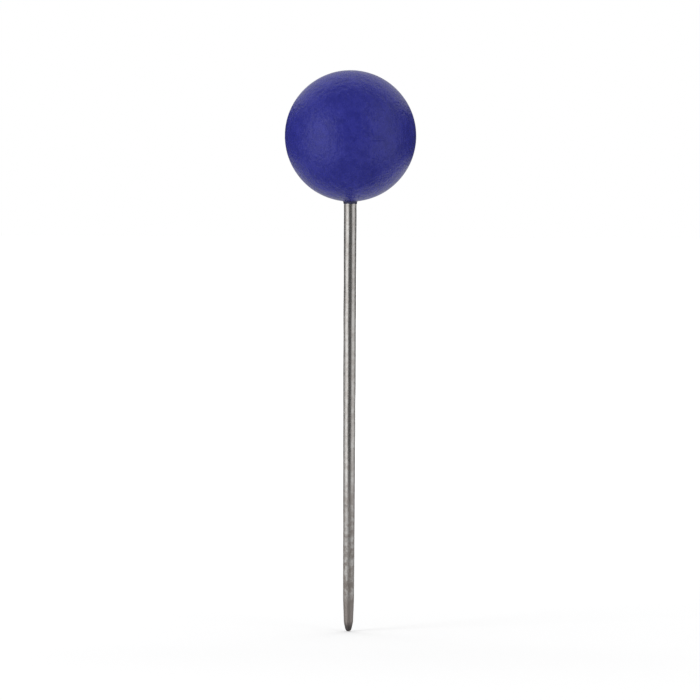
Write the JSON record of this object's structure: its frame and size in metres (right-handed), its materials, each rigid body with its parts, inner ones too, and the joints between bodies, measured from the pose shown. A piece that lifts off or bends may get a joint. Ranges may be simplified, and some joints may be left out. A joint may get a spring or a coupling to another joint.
{
  "type": "map pin",
  "caption": "Small marking pin with a moulded plastic ball head on a straight steel needle with a ground point, pushed into a board to hold paper or mark a place.",
  "frame": {"origin": "on the pin's axis at the foot of the plastic collar, where the bare needle starts", "axes": "+Z along the pin's axis, from the needle up through the ball; the needle points to -Z"},
  "size_m": [0.005, 0.005, 0.0214],
  "materials": {
    "head_plastic": "blue-violet moulded plastic, satin",
    "needle_steel": "bright drawn steel, duller towards the ground point"
  },
  "bodies": {
    "root": {"ball_head": "head_plastic", "steel_pin": "needle_steel"}
  },
  "joints": []
}
